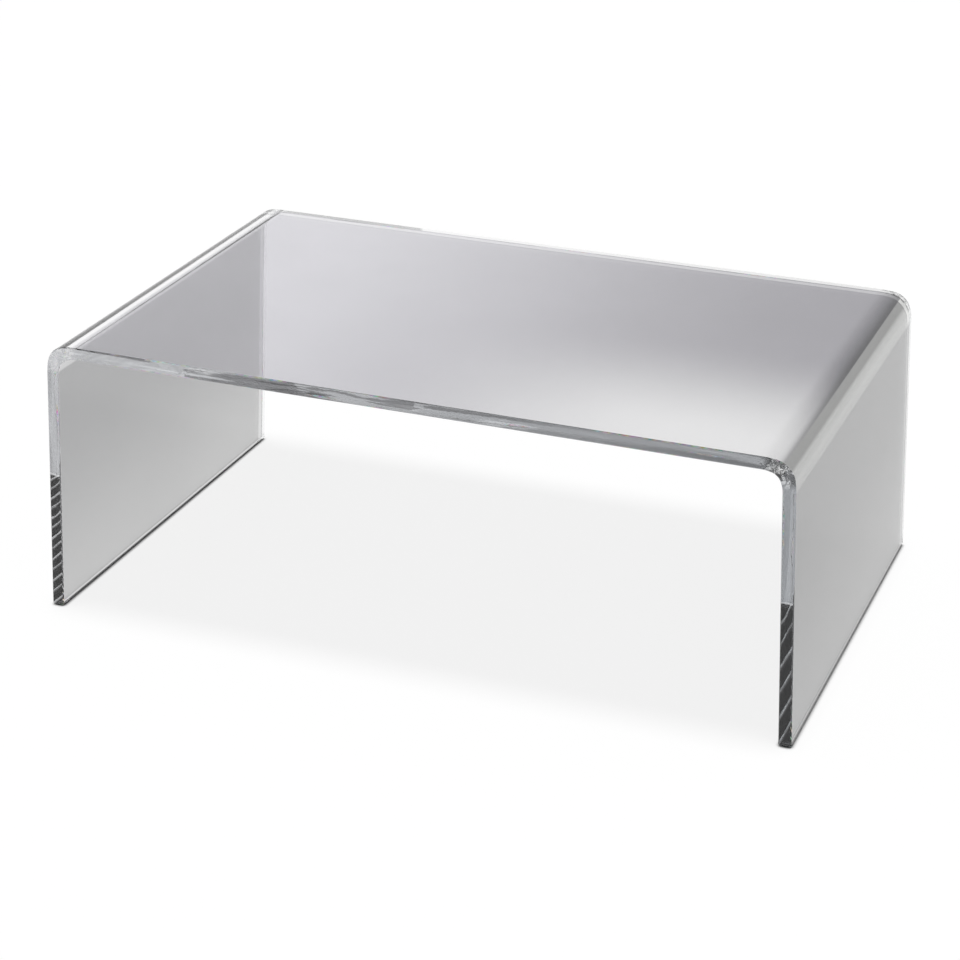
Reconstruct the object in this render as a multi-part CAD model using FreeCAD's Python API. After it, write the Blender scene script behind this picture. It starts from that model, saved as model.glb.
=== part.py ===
import FreeCAD, Part
import math
import os

# Waterfall coffee table: one clear acrylic sheet, heat-bent into a top and two legs,
# standing on four stick-on pads. X runs along the table, Y front to back, Z up.
# The origin is on the floor, at the centre of the footprint.

# Driving dimensions, in millimetres unless the note says degrees.
table_length = 1070.0       # between the legs' outer faces, produced up to the top surface
table_depth = 670.0         # front edge to back edge, the width of the sheet
table_height = 408.0        # floor to top surface
sheet_thickness = 18.0      # of the top and the legs; the bends come out a little thicker
outer_bend_radius = 32.0    # outer face, round the middle of each bend
outer_shoulder_radius = 150.0
outer_shoulder_turn = 7.0   # degrees, turned by the shoulder at each end of the bend
inner_bend_radius = 19.0    # hollow side, round the middle of each bend
inner_shoulder_radius = 45.0
inner_shoulder_turn = 19.0  # degrees
leg_splay = 2.5             # degrees, each leg opens outwards towards the floor
edge_bevel = 1.5            # 45 degree easing on every cut edge of the sheet
pad_diameter = 12.0
pad_thickness = 1.5
pad_rim_radius = 0.5        # rounding of the pad's rim at the floor
pad_inset = 16.0            # pad centre from the sheet's front or back edge

# Worked out from the sizes above.
splay = math.radians(leg_splay)
full_turn = math.pi / 2 - splay     # from the level top round to the leg
foot_height = pad_thickness         # the leg ends are cut level, and sit on the pads

# The heater softens a strip wider than the bend, so each face eases into its bend over a shoulder
# of larger radius, and out of it over another.
outer_face = {
    "depth": 0.0,
    "radius": outer_bend_radius,
    "shoulder": outer_shoulder_radius,
    "shoulder_turn": math.radians(outer_shoulder_turn),
}
inner_face = {
    "depth": sheet_thickness,
    "radius": inner_bend_radius,
    "shoulder": inner_shoulder_radius,
    "shoulder_turn": math.radians(inner_shoulder_turn),
}


def profile_point(x, z):
    return FreeCAD.Vector(x, -table_depth / 2, z)


def leg_reach(depth, height):
    # How far out the leg lies at a height, this deep below its outer face.
    drop = table_height - height
    return table_length / 2 + drop * math.tan(splay) - depth / math.cos(splay)


def bend_arcs(face):
    # The three arcs of one face of a bend, from the top to the leg, as (radius, turn).
    middle_turn = full_turn - 2 * face["shoulder_turn"]
    shoulder = (face["shoulder"], face["shoulder_turn"])
    return [shoulder, (face["radius"], middle_turn), shoulder]


def bend_travel(face, turn):
    # How far out and down a face has gone from the start of its bend, once it has turned this far.
    out = 0.0
    down = 0.0
    past = 0.0
    for radius, share in bend_arcs(face):
        reached = max(past, min(turn, past + share))
        out += radius * (math.sin(reached) - math.sin(past))
        down += radius * (math.cos(past) - math.cos(reached))
        past += share
    return out, down


def bend_point(side, face, turn):
    # The bend is placed where its ends meet the lines of the top and the leg.
    whole_out, whole_down = bend_travel(face, full_turn)
    out, down = bend_travel(face, turn)
    top = table_height - face["depth"]
    start = leg_reach(face["depth"], top - whole_down) - whole_out
    return profile_point(side * (start + out), top - down)


def straight(start, end):
    return Part.LineSegment(start, end).toShape()


def face_run(side, face):
    # One face of the sheet from the foot of a leg to the end of its bend: a line and three arcs.
    foot = profile_point(side * leg_reach(face["depth"], foot_height), foot_height)
    edges = [straight(foot, bend_point(side, face, full_turn))]
    begun = 0.0
    for radius, share in bend_arcs(face):
        turns = (begun, begun + share / 2, begun + share)
        points = [bend_point(side, face, turn) for turn in turns]
        edges.append(Part.Arc(*points).toShape())
        begun += share
    return {"foot": foot, "top_end": bend_point(side, face, 0.0), "edges": edges}


def sheet_profile():
    # The bent sheet seen from the front: outer face, two cut ends and inner face.
    outer_left = face_run(-1, outer_face)
    outer_right = face_run(1, outer_face)
    inner_left = face_run(-1, inner_face)
    inner_right = face_run(1, inner_face)
    edges = [
        straight(outer_left["top_end"], outer_right["top_end"]),
        straight(inner_left["top_end"], inner_right["top_end"]),
        straight(outer_left["foot"], inner_left["foot"]),
        straight(outer_right["foot"], inner_right["foot"]),
    ]
    for run in (outer_left, outer_right, inner_left, inner_right):
        edges.extend(run["edges"])
    return Part.Face(Part.Wire(Part.__sortEdges__(edges)))


def is_cut_edge(edge):
    # The sheet's cut faces are its front, its back and the level ends of the legs.
    # Lines along the depth higher up only join one stretch of a face to the next, and stay sharp.
    box = edge.BoundBox
    tolerance = 0.001
    runs_along_depth = box.YLength > tolerance
    at_foot = abs(box.ZMax - foot_height) < tolerance
    return at_foot or not runs_along_depth


def bent_sheet():
    sheet = sheet_profile().extrude(FreeCAD.Vector(0, table_depth, 0))
    cut_edges = [edge for edge in sheet.Edges if is_cut_edge(edge)]
    return sheet.makeChamfer(edge_bevel, cut_edges)


def foot_pad(side, end):
    # A clear disc, stuck to the level end of a leg, with its rim rounded at the floor.
    x = side * leg_reach(sheet_thickness / 2, foot_height)
    y = end * (table_depth / 2 - pad_inset)
    pad = Part.makeCylinder(pad_diameter / 2, pad_thickness, FreeCAD.Vector(x, y, 0))
    floor_rim = min(pad.Edges, key=lambda edge: edge.BoundBox.ZMax)
    return pad.makeFillet(pad_rim_radius, [floor_rim])


nodes = {"bent_acrylic_sheet": bent_sheet()}
for side_name, side in (("left", -1), ("right", 1)):
    for end_name, end in (("front", -1), ("back", 1)):
        nodes[f"{end_name}_{side_name}_foot_pad"] = foot_pad(side, end)

os.makedirs("parts", exist_ok=True)
for name, shape in nodes.items():
    shape.exportStep(f"parts/{name}.step")
    print(f"{name}: {len(shape.Solids)} solid, {shape.Volume / 1000:.2f} cm3, valid {shape.isValid()}")
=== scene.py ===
import math

import bmesh
import bpy
from mathutils import Matrix, Vector


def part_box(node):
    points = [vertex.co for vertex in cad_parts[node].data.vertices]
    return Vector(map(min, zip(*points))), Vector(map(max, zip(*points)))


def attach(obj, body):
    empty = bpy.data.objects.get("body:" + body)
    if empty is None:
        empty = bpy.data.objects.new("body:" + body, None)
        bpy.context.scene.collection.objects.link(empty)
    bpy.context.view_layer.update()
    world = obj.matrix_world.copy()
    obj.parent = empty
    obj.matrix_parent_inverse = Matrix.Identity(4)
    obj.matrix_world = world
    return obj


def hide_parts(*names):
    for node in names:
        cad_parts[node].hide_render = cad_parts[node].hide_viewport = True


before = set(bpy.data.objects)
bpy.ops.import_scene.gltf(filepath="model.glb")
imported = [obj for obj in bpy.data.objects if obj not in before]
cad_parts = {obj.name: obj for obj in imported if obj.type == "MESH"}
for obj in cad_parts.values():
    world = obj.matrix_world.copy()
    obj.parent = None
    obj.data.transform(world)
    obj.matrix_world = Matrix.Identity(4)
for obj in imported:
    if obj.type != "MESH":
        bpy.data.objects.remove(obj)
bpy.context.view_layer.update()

mm = 0.001
print("frame loaded:", ", ".join(sorted(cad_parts)))


class Wire:
    # A shader socket that can be added, subtracted and multiplied like a number.
    def __init__(self, board, socket):
        self.board = board
        self.socket = socket

    def __add__(self, other):
        return self.board.math("ADD", self, other)

    __radd__ = __add__

    def __sub__(self, other):
        return self.board.math("SUBTRACT", self, other)

    def __rsub__(self, other):
        return self.board.math("SUBTRACT", other, self)

    def __mul__(self, other):
        return self.board.math("MULTIPLY", self, other)

    __rmul__ = __mul__


class Board:
    # The node tree of one material, or of the world.
    def __init__(self, tree):
        self.tree = tree
        tree.nodes.clear()

    def node(self, kind, settings=None, values=None, out=0):
        made = self.tree.nodes.new(kind)
        for name, value in (settings or {}).items():
            setattr(made, name, value)
        for name, value in (values or {}).items():
            if isinstance(value, Wire):
                self.tree.links.new(value.socket, made.inputs[name])
            else:
                made.inputs[name].default_value = value
        return Wire(self, made.outputs[out]) if made.outputs else None

    def math(self, operation, first, second=0.0):
        return self.node("ShaderNodeMath", {"operation": operation}, {0: first, 1: second})

    def stretch(self, vector, scales):
        return self.node("ShaderNodeVectorMath", {"operation": "MULTIPLY"}, {0: vector, 1: scales})

    def ramp(self, value, low, high, start=0.0, end=1.0):
        # Goes smoothly from start to end as value goes from low to high.
        ends = {"Value": value, "From Min": low, "From Max": high, "To Min": start, "To Max": end}
        return self.node("ShaderNodeMapRange", {"interpolation_type": "SMOOTHSTEP"}, ends)

    def mixColor(self, factor, first, second):
        return self.node("ShaderNodeMix", {"data_type": "RGBA"}, {0: factor, 6: first, 7: second}, out=2)

    def blend(self, factor, first, second):
        return self.node("ShaderNodeMix", {"data_type": "FLOAT"}, {0: factor, 2: first, 3: second})

    def mixShader(self, factor, first, second):
        return self.node("ShaderNodeMixShader", None, {0: factor, 1: first, 2: second})

    def parts(self, vector):
        first = self.node("ShaderNodeSeparateXYZ", None, {0: vector})
        return [Wire(self, socket) for socket in first.socket.node.outputs]

    def noise(self, vector, scale, detail=2.0):
        return self.node("ShaderNodeTexNoise", None, {"Vector": vector, "Scale": scale, "Detail": detail})

    def colorNoise(self, vector, scale):
        return self.node("ShaderNodeTexNoise", None, {"Vector": vector, "Scale": scale}, out="Color")

    def streaks(self, vector, scales, detail):
        # Noise, drawn out along the axes that have small scales.
        return self.noise(self.stretch(vector, scales), 1.0, detail)

    def waves(self, vector, look):
        # Gentle unevenness, in metres.
        return self.noise(vector, look["scale"], look["detail"]) * look["height"]

    def cells(self, vector, scale):
        # How far a place is from the borders of its cell.
        return self.node("ShaderNodeTexVoronoi", {"feature": "DISTANCE_TO_EDGE"},
                         {"Vector": vector, "Scale": scale})

    def bump(self, height):
        return self.node("ShaderNodeBump", None, {"Height": height, "Distance": 1.0, "Strength": 1.0})


def linkObject(name, data):
    thing = bpy.data.objects.new(name, data)
    bpy.context.scene.collection.objects.link(thing)
    return thing


# Camera: a long lens, seen from the right front and above.
camera = {
    "place": (1190.9 * mm, -3136.8 * mm, 1657.7 * mm),
    "yaw": 21.06,           # degrees to the left of straight back
    "pitch": 24.15,         # degrees down
    "roll": 0.52,
    "focalPixels": 2496.2,
    "picturePixels": 960,
    "sensor": 36.0,
    "reach": 100.0,
}


def makeCamera():
    data = bpy.data.cameras.new("camera")
    data.sensor_width = camera["sensor"]
    data.lens = camera["focalPixels"] * camera["sensor"] / camera["picturePixels"]
    data.clip_end = camera["reach"]
    yaw, pitch, roll = (math.radians(camera[turn]) for turn in ("yaw", "pitch", "roll"))
    ahead = Vector((-math.sin(yaw) * math.cos(pitch), math.cos(yaw) * math.cos(pitch), -math.sin(pitch)))
    right = ahead.cross(Vector((0, 0, 1))).normalized()
    up = right.cross(ahead)
    tiltedRight = math.cos(roll) * right + math.sin(roll) * up
    tiltedUp = math.cos(roll) * up - math.sin(roll) * right
    turned = Matrix((tiltedRight, tiltedUp, -ahead)).transposed().to_4x4()
    thing = linkObject("camera", data)
    thing.matrix_world = Matrix.Translation(Vector(camera["place"])) @ turned
    bpy.context.scene.camera = thing


makeCamera()
print("camera placed")


# The sheet, bent twice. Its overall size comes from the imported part.
# Heat softens a strip wider than the bend, so each face eases into it over a shoulder of larger radius.
sheet = {
    "node": "bent_acrylic_sheet",
    "slot": "clear_acrylic",
    "thickness": 18 * mm,
    "splay": math.radians(2.5),
    "outerBend": {"shoulder": 150 * mm, "ease": math.radians(7), "radius": 32 * mm},
    "innerBend": {"shoulder": 45 * mm, "ease": math.radians(19), "radius": 19 * mm},
    "bevel": 1.5 * mm,
    "crown": 0.12 * mm,       # how far the buffed bevels stand proud of flat
    "taper": 0.9,             # how fast bevels narrow where they meet at a corner
    "bevelSteps": 4,
    "filmSteps": 3,           # how many steps of the foot's bevels count as foot
    "bendSteps": 96,
    "easing": 2 * mm,         # strip beside each bend that takes up the turn of the shading
    "sharpFrom": math.radians(14),
}
faceKinds = ["broad", "cut", "foot"]
fullTurn = math.pi / 2 - sheet["splay"]


def sheetOutline(inset):
    # The section of the sheet at one ring, as ((distance from the hollow side, place along the depth), kind).
    # The kind is that of the face from this point to the next one.
    low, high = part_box(sheet["node"])
    outer, hollow = sheet["thickness"] - inset, inset
    front, back = low.y + inset, high.y - inset
    cut = sheet["bevel"] - sheet["taper"] * inset
    corners = [
        ((outer, front), (0, -1), (-1, 0), "cut"),
        ((hollow, front), (-1, 0), (0, 1), "broad"),
        ((hollow, back), (0, 1), (1, 0), "cut"),
        ((outer, back), (1, 0), (0, -1), "broad"),
    ]
    points = []
    for corner, arriving, leaving, following in corners:
        for step in range(sheet["bevelSteps"] + 1):
            share = step / sheet["bevelSteps"]
            bulge = crownAt(share) * cut / sheet["bevel"]
            before = cut * (1 - share) - bulge
            after = cut * share - bulge
            point = tuple(c - a * before + b * after for c, a, b in zip(corner, arriving, leaving))
            points.append((point, following if step == sheet["bevelSteps"] else "cut"))
    return points


def crownAt(share):
    # How far a bevel swells towards its lost corner, measured along each of its two faces.
    return 4 * share * (1 - share) * sheet["crown"] / math.sqrt(2)


def legReach(height, below):
    # How far out the thread this far below the outer face is, at a height on the right leg.
    low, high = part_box(sheet["node"])
    slant, lean = math.cos(sheet["splay"]), math.tan(sheet["splay"])
    widest = low.z + sheet["bevel"] * slant
    return high.x + (widest - height) * lean - below / slant


def bendRun(bend, turn):
    # How far right and down one face has gone from the start of its bend, once it has turned this far.
    middle = fullTurn - 2 * bend["ease"]
    shoulder = (bend["shoulder"], bend["ease"])
    right = down = past = 0.0
    for radius, share in (shoulder, (bend["radius"], middle), shoulder):
        reached = max(past, min(turn, past + share))
        right += radius * (math.sin(reached) - math.sin(past))
        down += radius * (math.cos(past) - math.cos(reached))
        past += share
    return right, down


def sheetPlace(side, station, distance):
    # Where the thread at this distance from the hollow side is at a station: a height on the leg,
    # an angle of turn in the bend, or a little way past either end of the bend.
    low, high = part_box(sheet["node"])
    kind, value = station
    below = sheet["thickness"] - distance
    if kind == "height":
        return side * legReach(value, below), value
    nearOuter = distance > sheet["thickness"] / 2
    bend = sheet["outerBend" if nearOuter else "innerBend"]
    depth = 0.0 if nearOuter else sheet["thickness"]
    top = high.z - depth
    wholeRight, wholeDown = bendRun(bend, fullTurn)
    turn = {"top": 0.0, "leg": fullTurn}.get(kind, value)
    right, down = bendRun(bend, turn)
    x = legReach(top - wholeDown, depth) - wholeRight + right - (below - depth) * math.sin(turn)
    z = top - down - (below - depth) * math.cos(turn)
    if kind == "top":
        x -= value
    if kind == "leg":
        x += value * math.cos(turn)
        z -= value * math.sin(turn)
    return side * x, z


def legStations():
    # From the foot of a leg up to the end of its bend, as (station, inset).
    low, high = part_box(sheet["node"])
    stations = []
    for step in range(sheet["bevelSteps"], -1, -1):
        share = step / sheet["bevelSteps"]
        bulge = crownAt(share)
        height = low.z + sheet["bevel"] * (1 - share) - bulge
        stations.append((("height", height), sheet["bevel"] * share - bulge))
    stations.append((("height", low.z + sheet["bevel"] + sheet["easing"]), 0))
    stations.append((("leg", sheet["easing"]), 0))
    for step in range(sheet["bendSteps"], -1, -1):
        stations.append((("angle", fullTurn * step / sheet["bendSteps"]), 0))
    stations.append((("top", sheet["easing"]), 0))
    return stations


def makeSheet(materials):
    rings = [(-1, station, inset) for station, inset in legStations()]
    rings += [(1, station, inset) for station, inset in reversed(legStations())]
    bm = bmesh.new()
    rows = []
    for side, station, inset in rings:
        row = []
        for (distance, y), kind in sheetOutline(inset):
            x, z = sheetPlace(side, station, distance)
            row.append(bm.verts.new((x, y, z)))
        rows.append(row)
    kinds = [kind for point, kind in sheetOutline(0)]
    for number, (row, following) in enumerate(zip(rows, rows[1:])):
        fromFoot = min(number, len(rows) - 2 - number)
        for index, kind in enumerate(kinds):
            after = (index + 1) % len(row)
            face = bm.faces.new((row[index], row[after], following[after], following[index]))
            if fromFoot < sheet["bevelSteps"]:
                kind = "foot" if fromFoot < sheet["filmSteps"] else "cut"
            face.material_index = faceKinds.index(kind)
    for row in (rows[0], rows[-1]):
        bm.faces.new(row).material_index = faceKinds.index("foot")
    bmesh.ops.recalc_face_normals(bm, faces=bm.faces)
    mesh = bpy.data.meshes.new("clearSheet")
    bm.to_mesh(mesh)
    bm.free()
    mesh.shade_smooth()
    mesh.set_sharp_from_angle(angle=sheet["sharpFrom"])
    for kind in faceKinds:
        mesh.materials.append(materials[kind])
    thing = linkObject("clearSheet", mesh)
    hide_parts(sheet["node"])
    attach(thing, "root")


def grey(level):
    return (level, level, level, 1)


# Cast acrylic. Its faces are true to a fraction of a millimetre, and that is enough to mottle what is
# seen along the inside of the sheet. Places are in metres from the middle of the table on the floor.
acrylic = {
    "ior": 1.49,
    # A light grey tone, painted shade in place of the dimmer things seen through the clear sheet, which
    # deepens up each leg and from the left end to the right one.
    "leg": {"low": grey(0.52), "high": (0.37, 0.372, 0.375, 1), "from": -0.02, "to": 0.3},
    "top": {"left": (0.64, 0.632, 0.675, 1), "right": (0.70, 0.69, 0.74, 1), "from": 0.385, "to": 0.388},
    # bend holds a painted highlight on the outer face of each bend, near white on the left and greyer on the
    # right.
    "bend": {"left": (0.95, 0.95, 0.96, 1), "right": (0.62, 0.625, 0.605, 1), "from": 0.5 * mm, "to": 6 * mm},
    "ends": {"left": -0.5, "right": 0.38, "deeper": 0.42},      # deeper is the black at the right
    # A painted reflection, lighter at the front right of the top.
    "paintedReflection": {"tint": grey(1), "y": (0.05, -0.3), "x": (-0.1, 0.4), "most": 0.75},
    # The band is painted shade.
    "shadeBand": {"tint": (0.10, 0.10, 0.107, 1), "before": 9 * mm, "ends": math.radians(32), "sharp": 1.5 * mm,
             "heights": (0.392, 0.393), "front": (-0.33, 0.05), "least": 0.3},
    # A painted highlight: no grey tone along the cut edges, so that they show bright, many times narrower in
    # front.
    "edgeHighlight": {"tint": grey(1), "width": 13 * mm, "fade": 1.5 * mm, "narrower": 6.0},
    "cloud": {"scale": 5.0, "detail": 3.0, "from": 0.3, "to": 0.7, "most": 0.03},
    "swell": {"scale": 7.0, "detail": 1.0, "height": 0.25 * mm},
    "drawLines": {"across": 260.0, "along": 3.0, "detail": 3.0, "height": 0.05 * mm},
}
bendZone = {"out": (0.486, 0.5), "up": (0.366, 0.378)}
cutEdge = {
    # The edge tones are painted shade, darker to the right and darkest along the top's right.
    "left": (0.47, 0.478, 0.495, 1),
    "right": (0.32, 0.335, 0.355, 1),
    "topRight": (0.25, 0.26, 0.275, 1),
    "topFrom": (0.37, 0.385),       # heights between which the bend's edge turns into the top's
    # dark and light are painted shade and highlight, in streaks.
    "dark": {"tint": (0.09, 0.09, 0.095, 1), "from": 0.56, "to": 0.60},
    "light": {"tint": (0.80, 0.82, 0.84, 1), "from": 0.44, "to": 0.38},
    "streaks": {"along": 5.0, "across": 110.0, "detail": 3.0, "calm": 0.25, "fading": (0.0, 0.14)},
    # dense packs painted dark streaks into one stretch of the top's front edge.
    "dense": {"starts": (-0.335, -0.315), "stops": (-0.165, -0.145), "push": 0.11},
    "glints": {"scale": 10.0, "from": 0.54, "to": 0.60, "hueScale": 150.0, "vivid": 2.4, "within": 0.1 * mm},
    # The crazing is real; its colours are painted shade and highlight.
    "crazingShadeAndLight": {"scale": 110.0, "line": 0.12, "left": (0.60, 0.61, 0.63, 1), "right": grey(0.015),
               "light": grey(0.95), "share": 0.85, "patch": (0.46, 0.5), "sides": (-0.1, 0.1),
               "warpScale": 90.0, "warp": 12 * mm},
    "swell": {"scale": 9.0, "detail": 1.0, "height": 0.4 * mm},
    "ripple": {"scale": 120.0, "detail": 2.0, "height": 0.03 * mm},
    "crazing": {"scale": 170.0, "line": 0.15, "height": 0.25 * mm},
}
footFilm = {
    "ior": 1.02,
    "tint": grey(0.95),
    "shade": (0.88, 0.88, 0.9, 1),
    "grain": {"scale": 400.0, "from": 0.4, "to": 0.7},
}


def newBoard(name):
    material = bpy.data.materials.new(name)
    material.use_nodes = True
    return material, Board(material.node_tree)


def newMaterial(name):
    material, board = newBoard(name)
    return material, board, board.node("ShaderNodeTexCoord", None, None, out="Object")


def clearShader(board, ior, color, normal=None):
    values = {"Base Color": color, "Transmission Weight": 1.0, "IOR": ior, "Roughness": 0.0}
    if normal:
        values["Normal"] = normal
    shader = board.node("ShaderNodeBsdfPrincipled", None, values)
    board.node("ShaderNodeOutputMaterial", None, {"Surface": shader})


def bendShare(board, place):
    # 1 in the two bends, 0 on the flats.
    x, y, z = board.parts(place)
    outward = board.ramp(board.math("ABSOLUTE", x), *bendZone["out"])
    return outward * board.ramp(z, *bendZone["up"])


def broadAcrylic():
    material, board, place = newMaterial("acrylicFaces")
    x, y, z = board.parts(place)
    low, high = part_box(sheet["node"])
    leg, top, bend, edgeHighlight = (acrylic[part] for part in ("leg", "top", "bend", "edgeHighlight"))
    # Painted shade: the grey tone darkens up each leg and along the top to the right.
    rightward = board.ramp(x, acrylic["ends"]["left"], acrylic["ends"]["right"])
    color = board.mixColor(board.ramp(z, leg["from"], leg["to"]), leg["low"], leg["high"])
    onTop = board.ramp(z, top["from"], top["to"])
    color = board.mixColor(onTop, color, board.mixColor(rightward, top["left"], top["right"]))
    # Painted shade: the tone is mixed towards black at the right end.
    color = board.mixColor(rightward * acrylic["ends"]["deeper"], color, grey(0))
    # Painted reflection: a lighter patch at the front right of the top.
    paintedReflection = acrylic["paintedReflection"]
    corner = board.ramp(y, *paintedReflection["y"]) * board.ramp(x, *paintedReflection["x"]) * onTop
    color = board.mixColor(corner * paintedReflection["most"], color, paintedReflection["tint"])
    # The outer face of each bend, and no inner one, lies further out than this from the lost corner.
    outermost = board.math("ABSOLUTE", x) + z
    start = max(sum(sheetPlace(1, ("angle", turn), sheet["thickness"])) for turn in (0, fullTurn))
    bent = board.ramp(outermost, start + bend["from"], start + bend["to"])
    # A painted dark band of shade runs up to the right bend, and ends sharply where the bend tightens.
    shadeBand = acrylic["shadeBand"]
    begins = sheetPlace(1, ("angle", 0), sheet["thickness"])[0] - shadeBand["before"]
    ends = sheetPlace(1, ("angle", shadeBand["ends"]), sheet["thickness"])[0]
    past = board.ramp(x, ends - shadeBand["sharp"] / 2, ends + shadeBand["sharp"] / 2)
    dark = board.ramp(x, begins, ends) * (1 - past) * board.ramp(z, *shadeBand["heights"])
    dark = dark * board.ramp(y, *shadeBand["front"], shadeBand["least"], 1.0)
    # Painted highlight on the outer face of the bends, greyer on the right one.
    light = board.math("MAXIMUM", 1 - rightward, past) * bent
    color = board.mixColor(light, color, board.mixColor(rightward, bend["left"], bend["right"]))
    color = board.mixColor(dark, color, shadeBand["tint"])
    # Painted highlight: the grey tone gives way to none along the cut edges.
    fromEdge = board.math("MINIMUM", high.y - y, (y - low.y) * edgeHighlight["narrower"])
    clear = board.ramp(fromEdge, edgeHighlight["width"] - edgeHighlight["fade"], edgeHighlight["width"], 1.0, 0.0)
    color = board.mixColor(clear, color, edgeHighlight["tint"])
    cloud = acrylic["cloud"]
    clouded = board.noise(place, cloud["scale"], cloud["detail"])
    clouded = board.ramp(clouded, cloud["from"], cloud["to"], 0.0, cloud["most"])
    color = board.mixColor(clouded, color, grey(0))
    drawn = acrylic["drawLines"]
    lines = board.streaks(place, (drawn["across"], drawn["along"], drawn["across"]), drawn["detail"])
    height = board.waves(place, acrylic["swell"]) + lines * bendShare(board, place) * drawn["height"]
    clearShader(board, acrylic["ior"], color, board.bump(height))
    return material


def cutAcrylic():
    material, board, place = newMaterial("acrylicCutEdges")
    # Painted shade and highlight in streaks that run along the edge: across on the top, up and down on the
    # legs.
    x, y, z = board.parts(place)
    low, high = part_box(sheet["node"])
    run = cutEdge["streaks"]
    level = board.streaks(place, (run["along"], run["along"], run["across"]), run["detail"])
    upright = board.streaks(place, (run["across"], run["along"], run["along"]), run["detail"])
    onTop = board.ramp(z, *cutEdge["topFrom"])
    # Painted shade: more dark streaks in one stretch of the top's front edge.
    dense = cutEdge["dense"]
    crowded = board.ramp(x, *dense["starts"]) * board.ramp(x, *dense["stops"], 1.0, 0.0)
    streak = board.blend(onTop, upright, level + crowded * dense["push"])
    share = board.blend(onTop, run["calm"], board.ramp(x, *run["fading"], 1.0, run["calm"]))
    dark, light = cutEdge["dark"], cutEdge["light"]
    # Painted shade: the edges' grey darkens from the left end to the right one.
    rightTint = board.mixColor(onTop, cutEdge["right"], cutEdge["topRight"])
    color = board.mixColor(board.ramp(x, low.x, high.x), cutEdge["left"], rightTint)
    color = board.mixColor(board.ramp(streak, dark["from"], dark["to"]) * share, color, dark["tint"])
    color = board.mixColor(board.ramp(streak, light["from"], light["to"]) * share, color, light["tint"])
    # Where the sheet is bent its edge is crazed, and the crazing carries painted shade, near black at the
    # right end, and painted highlight in light patches.
    crazingShadeAndLight = cutEdge["crazingShadeAndLight"]
    shift = board.stretch(board.colorNoise(place, crazingShadeAndLight["warpScale"]), (crazingShadeAndLight["warp"],) * 3)
    warped = board.node("ShaderNodeVectorMath", {"operation": "ADD"}, {0: place, 1: shift})
    patch = board.ramp(board.noise(place, crazingShadeAndLight["scale"]), *crazingShadeAndLight["patch"])
    gloom = board.mixColor(board.ramp(x, *crazingShadeAndLight["sides"]), crazingShadeAndLight["left"], crazingShadeAndLight["right"])
    crazed = board.mixColor(patch, gloom, crazingShadeAndLight["light"])
    offLine = board.ramp(board.cells(warped, crazingShadeAndLight["scale"]), 0.0, crazingShadeAndLight["line"])
    crazed = board.mixColor(offLine, gloom, crazed)
    color = board.mixColor(bendShare(board, place) * crazingShadeAndLight["share"], color, crazed)
    # Painted coloured glints on the bevels, in place of light split into colours.
    glints = cutEdge["glints"]
    vivid = glints["vivid"]
    hues = board.colorNoise(place, glints["hueScale"])
    hues = board.node("ShaderNodeVectorMath", {"operation": "MULTIPLY_ADD"},
                      {0: hues, 1: (vivid,) * 3, 2: ((1 - vivid) / 2,) * 3})
    onBevel = board.math("LESS_THAN", board.math("ABSOLUTE", y), high.y - glints["within"])
    sparse = board.ramp(board.noise(place, glints["scale"]), glints["from"], glints["to"])
    color = board.mixColor(onBevel * sparse, color, hues)
    uneven = board.waves(place, cutEdge["swell"]) + board.waves(place, cutEdge["ripple"])
    crazing = cutEdge["crazing"]
    cells = board.ramp(board.cells(place, crazing["scale"]), 0.0, crazing["line"])
    uneven = uneven + cells * bendShare(board, place) * crazing["height"]
    clearShader(board, acrylic["ior"], color, board.bump(uneven))
    return material


def footAcrylic():
    # The level end of a leg lets the light straight out, to its pads and the floor.
    material, board, place = newMaterial("acrylicFeet")
    grain = footFilm["grain"]
    shaded = board.ramp(board.noise(place, grain["scale"]), grain["from"], grain["to"])
    clearShader(board, footFilm["ior"], board.mixColor(shaded, footFilm["tint"], footFilm["shade"]))
    return material


makeSheet({"broad": broadAcrylic(), "cut": cutAcrylic(), "foot": footAcrylic()})
print("sheet made")


# Small clear pads, stuck under the level ends of the legs.
pad = {
    "slot": "clear_pad",
    "steps": 48,
    "rim": 0.5 * mm,          # rounding at the floor
    "rimSteps": 6,
    "lip": 0.1 * mm,          # bevel at the top
    "gap": 0.03 * mm,         # keeps the top clear of the sheet
    "sharpFrom": math.radians(40),
}
padLook = {
    "ior": 1.5,
    "tint": (0.93, 0.92, 0.84, 1),
    "aged": {"tint": (0.93, 0.88, 0.7, 1), "scale": 300.0, "from": 0.35, "to": 0.7},
    "dimples": {"scale": 900.0, "detail": 2.0, "height": 0.1 * mm},
}


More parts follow.
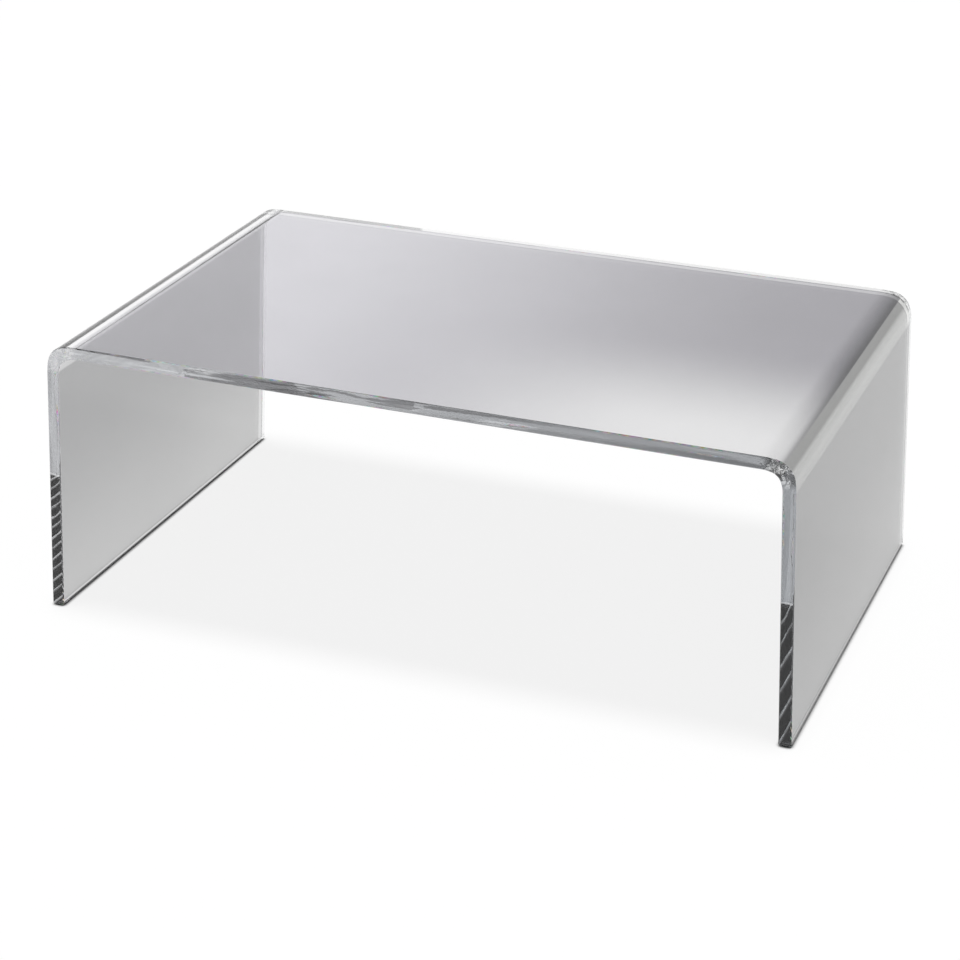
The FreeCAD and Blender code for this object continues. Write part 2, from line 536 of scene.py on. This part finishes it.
def makePad(node, material):
    low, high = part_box(node)
    middle = (low + high) / 2
    radius = (high.x - low.x) / 2
    top = high.z - pad["gap"]
    profile = []
    for step in range(pad["rimSteps"] + 1):
        turn = math.pi / 2 * step / pad["rimSteps"]
        profile.append((radius - pad["rim"] + pad["rim"] * math.sin(turn),
                        low.z + pad["rim"] - pad["rim"] * math.cos(turn)))
    profile += [(radius, top - pad["lip"]), (radius - pad["lip"], top)]
    points = []
    faces = []
    for r, z in profile:
        for k in range(pad["steps"]):
            turn = 2 * math.pi * k / pad["steps"]
            points.append((middle.x + r * math.cos(turn), middle.y + r * math.sin(turn), z))
    count = pad["steps"]
    for ring in range(len(profile) - 1):
        for k in range(count):
            after = (k + 1) % count
            below, above = ring * count, (ring + 1) * count
            faces.append((below + k, below + after, above + after, above + k))
    faces.append(tuple(reversed(range(count))))
    faces.append(tuple(range((len(profile) - 1) * count, len(profile) * count)))
    mesh = bpy.data.meshes.new(node)
    mesh.from_pydata(points, [], faces)
    mesh.shade_smooth()
    mesh.set_sharp_from_angle(angle=pad["sharpFrom"])
    mesh.materials.append(material)
    thing = linkObject("clear_" + node, mesh)
    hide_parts(node)
    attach(thing, "root")


def padUrethane():
    material, board, place = newMaterial("padUrethane")
    aged = padLook["aged"]
    yellowed = board.ramp(board.noise(place, aged["scale"]), aged["from"], aged["to"])
    color = board.mixColor(yellowed, padLook["tint"], aged["tint"])
    clearShader(board, padLook["ior"], color, board.bump(board.waves(place, padLook["dimples"])))
    return material


padMaterial = padUrethane()
for node in sorted(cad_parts):
    if node.endswith("foot_pad"):
        makePad(node, padMaterial)
print("pads made")


# A white floor and a white room, which the camera and the clear sheet see alike. The table keeps the
# lamp off the floor, and the floor is dark where the feet all but touch it.
floorLook = {
    "half": 12.0,             # metres from the middle to each side
    "white": 0.853,
    "shade": 0.15,            # the part of the floor's white that the lamp makes, and the table dims
    "plain": 0.8,             # its colour to the lamp's own light
    "contact": {"reach": 7 * mm, "samples": 8, "closed": 0.3, "open": 0.95},
}
# The room is white low down and to the left, and dimmer overhead and to the right, by direction.
roomLook = {
    "walls": 1.0,
    "dim": 0.35,
    "right": (-0.42, -0.1),
    "up": (0.45, 0.9),
    "horizon": 0.12,
    "ambient": 0.25,          # what the room adds to the lamp's light
}
lampLook = {"strength": 2.4, "angle": math.radians(13)}
bounces = {"all": 40, "clear": 32}


def seenRays(board):
    # 1 for what the camera sees, straight or through and off something clear, and 0 for plain light.
    kinds = [board.node("ShaderNodeLightPath", None, None, out=name)
             for name in ("Is Camera Ray", "Is Glossy Ray", "Is Transmission Ray")]
    return board.math("MAXIMUM", kinds[0], board.math("MAXIMUM", kinds[1], kinds[2]))


def makeFloor():
    mesh = bpy.data.meshes.new("studioFloor")
    half = floorLook["half"]
    corners = [(-half, -half, 0), (half, -half, 0), (half, half, 0), (-half, half, 0)]
    mesh.from_pydata(corners, [], [(0, 1, 2, 3)])
    material, board = newBoard("studioFloor")
    contact = floorLook["contact"]
    uncovered = board.node("ShaderNodeAmbientOcclusion", {"samples": contact["samples"]},
                           {"Distance": contact["reach"]}, out="AO")
    uncovered = board.ramp(uncovered, contact["closed"], contact["open"])
    whiteness = board.mixColor(uncovered, grey(0), grey(floorLook["white"]))
    white = board.node("ShaderNodeEmission", None, {"Color": whiteness, "Strength": 1.0})
    shade = board.node("ShaderNodeBsdfDiffuse", None, {"Color": grey(floorLook["shade"])})
    shown = board.node("ShaderNodeAddShader", None, {0: white, 1: shade})
    plain = board.node("ShaderNodeBsdfDiffuse", None, {"Color": grey(floorLook["plain"])})
    board.node("ShaderNodeOutputMaterial", None, {"Surface": board.mixShader(seenRays(board), plain, shown)})
    mesh.materials.append(material)
    linkObject("studioFloor", mesh)


def makeLight():
    lamp = bpy.data.lights.new("overheadLamp", "SUN")
    lamp.energy = lampLook["strength"]
    lamp.angle = lampLook["angle"]
    thing = linkObject("overheadLamp", lamp)
    thing.visible_glossy = False
    thing.visible_transmission = False
    world = bpy.data.worlds.new("studioWorld")
    bpy.context.scene.world = world
    world.use_nodes = True
    board = Board(world.node_tree)
    x, y, z = board.parts(board.node("ShaderNodeTexCoord", None, None, out="Generated"))
    dim = board.math("MAXIMUM", board.ramp(x, *roomLook["right"]), board.ramp(z, *roomLook["up"]))
    dim = dim * board.ramp(z, 0.0, roomLook["horizon"])
    room = board.mixColor(dim, grey(roomLook["walls"]), grey(roomLook["dim"]))
    room = board.mixColor(seenRays(board), grey(roomLook["ambient"]), room)
    back = board.node("ShaderNodeBackground", None, {"Color": room, "Strength": 1.0})
    board.node("ShaderNodeOutputWorld", None, {"Surface": back})


makeFloor()
makeLight()
cycles = bpy.context.scene.cycles
cycles.max_bounces = bounces["all"]
cycles.glossy_bounces = bounces["clear"]
cycles.transmission_bounces = bounces["clear"]
bpy.context.scene.view_settings.view_transform = "Standard"
print("studio lit")
